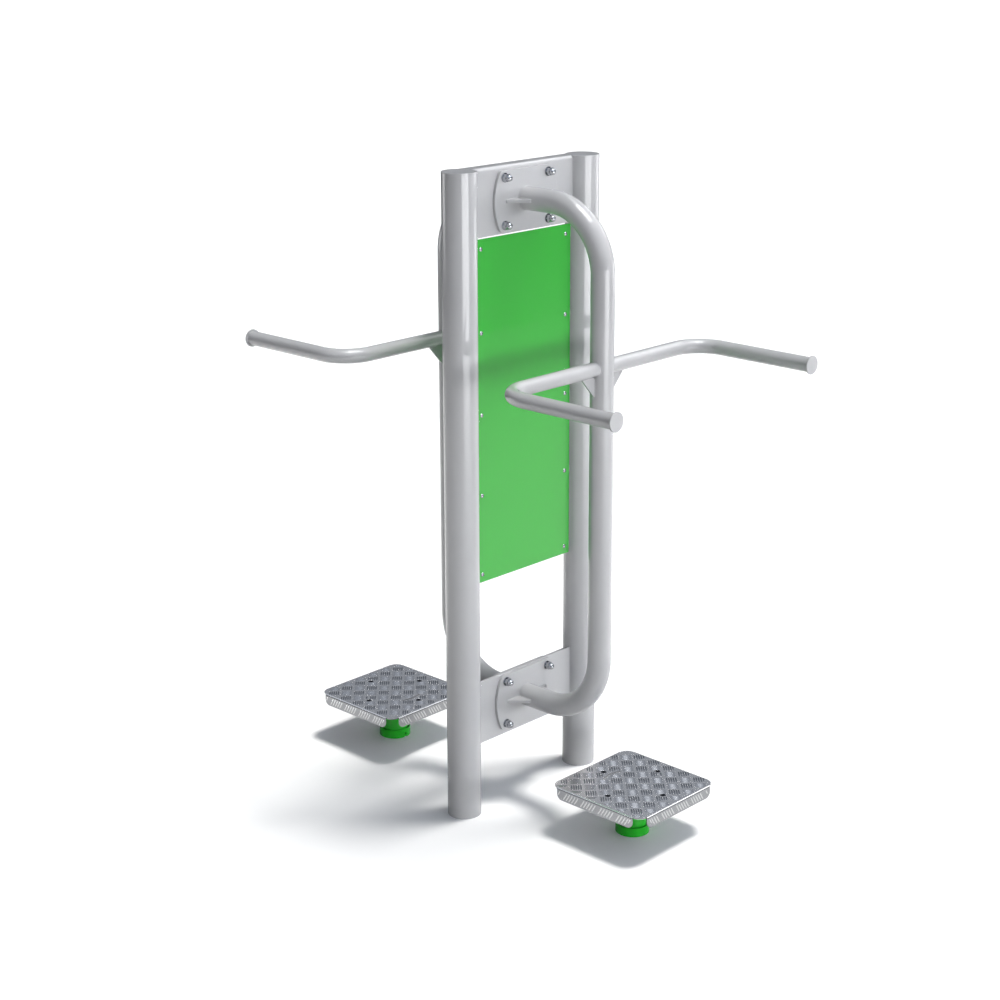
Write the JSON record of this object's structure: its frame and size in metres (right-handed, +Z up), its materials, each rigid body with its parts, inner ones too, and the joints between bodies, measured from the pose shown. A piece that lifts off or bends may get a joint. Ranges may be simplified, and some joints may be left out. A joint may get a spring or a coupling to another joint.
{
  "type": "outdoor double twister",
  "caption": "Outdoor waist twister with a panel between two posts, a looped arm with handles on each side and a turning platform in front and behind.",
  "frame": {"origin": "on the ground, midway between the centres of the two posts", "axes": "+Z up, +X along the panel towards the right post seen from the panel side, +Y to the rear, from the front platform towards the rear one"},
  "size_m": [0.798, 1.3026, 1.706],
  "materials": {
    "grey_paint": "satin",
    "panel_paint": "satin",
    "pedestal_paint": "satin",
    "aluminium": "satin",
    "stainless": "satin",
    "black_steel": "satin",
    "rubber": "matte"
  },
  "bodies": {
    "frame": {"left_post": "grey_paint", "right_post": "grey_paint", "post_caps": "grey_paint", "upper_cross_plate": "grey_paint", "lower_cross_plate": "grey_paint", "panel": "panel_paint", "panel_tabs": "grey_paint", "panel_screws": "stainless", "panel_nuts": "stainless", "front_arm": "grey_paint", "rear_arm": "grey_paint", "front_upper_flange": "grey_paint", "front_lower_flange": "grey_paint", "rear_upper_flange": "grey_paint", "rear_lower_flange": "grey_paint", "flange_ribs": "grey_paint", "flange_bolts": "stainless", "flange_washers": "stainless", "cap_nuts": "stainless", "front_left_handle": "grey_paint", "front_right_handle": "grey_paint", "rear_left_handle": "grey_paint", "rear_right_handle": "grey_paint", "handle_gussets": "grey_paint", "handle_end_caps": "grey_paint", "front_base_ring": "pedestal_paint", "front_base_disc": "pedestal_paint", "front_spindle": "stainless", "front_inner_races": "stainless", "front_retainer": "stainless", "front_spindle_bolt": "stainless", "rear_base_ring": "pedestal_paint", "rear_base_disc": "pedestal_paint", "rear_spindle": "stainless", "rear_inner_races": "stainless", "rear_retainer": "stainless", "rear_spindle_bolt": "stainless"},
    "front_platform": {"front_outer_races": "stainless", "front_bearing_balls": "stainless", "front_seal": "rubber", "front_hub": "grey_paint", "front_skirt": "pedestal_paint", "front_carrier": "grey_paint", "front_carrier_ribs": "grey_paint", "front_tread": "aluminium", "front_tread_screws": "black_steel", "front_tread_nuts": "stainless"},
    "rear_platform": {"rear_outer_races": "stainless", "rear_bearing_balls": "stainless", "rear_seal": "rubber", "rear_hub": "grey_paint", "rear_skirt": "pedestal_paint", "rear_carrier": "grey_paint", "rear_carrier_ribs": "grey_paint", "rear_tread": "aluminium", "rear_tread_screws": "black_steel", "rear_tread_nuts": "stainless"}
  },
  "joints": [
    {"name": "front_turn", "type": "hinge", "parent": "frame", "child": "front_platform", "pos_m": [0, -0.39, 0.057], "axis": [0, 0, 1], "continuous": true},
    {"name": "rear_turn", "type": "hinge", "parent": "frame", "child": "rear_platform", "pos_m": [0, 0.5096, 0.057], "axis": [0, 0, 1], "continuous": true}
  ]
}
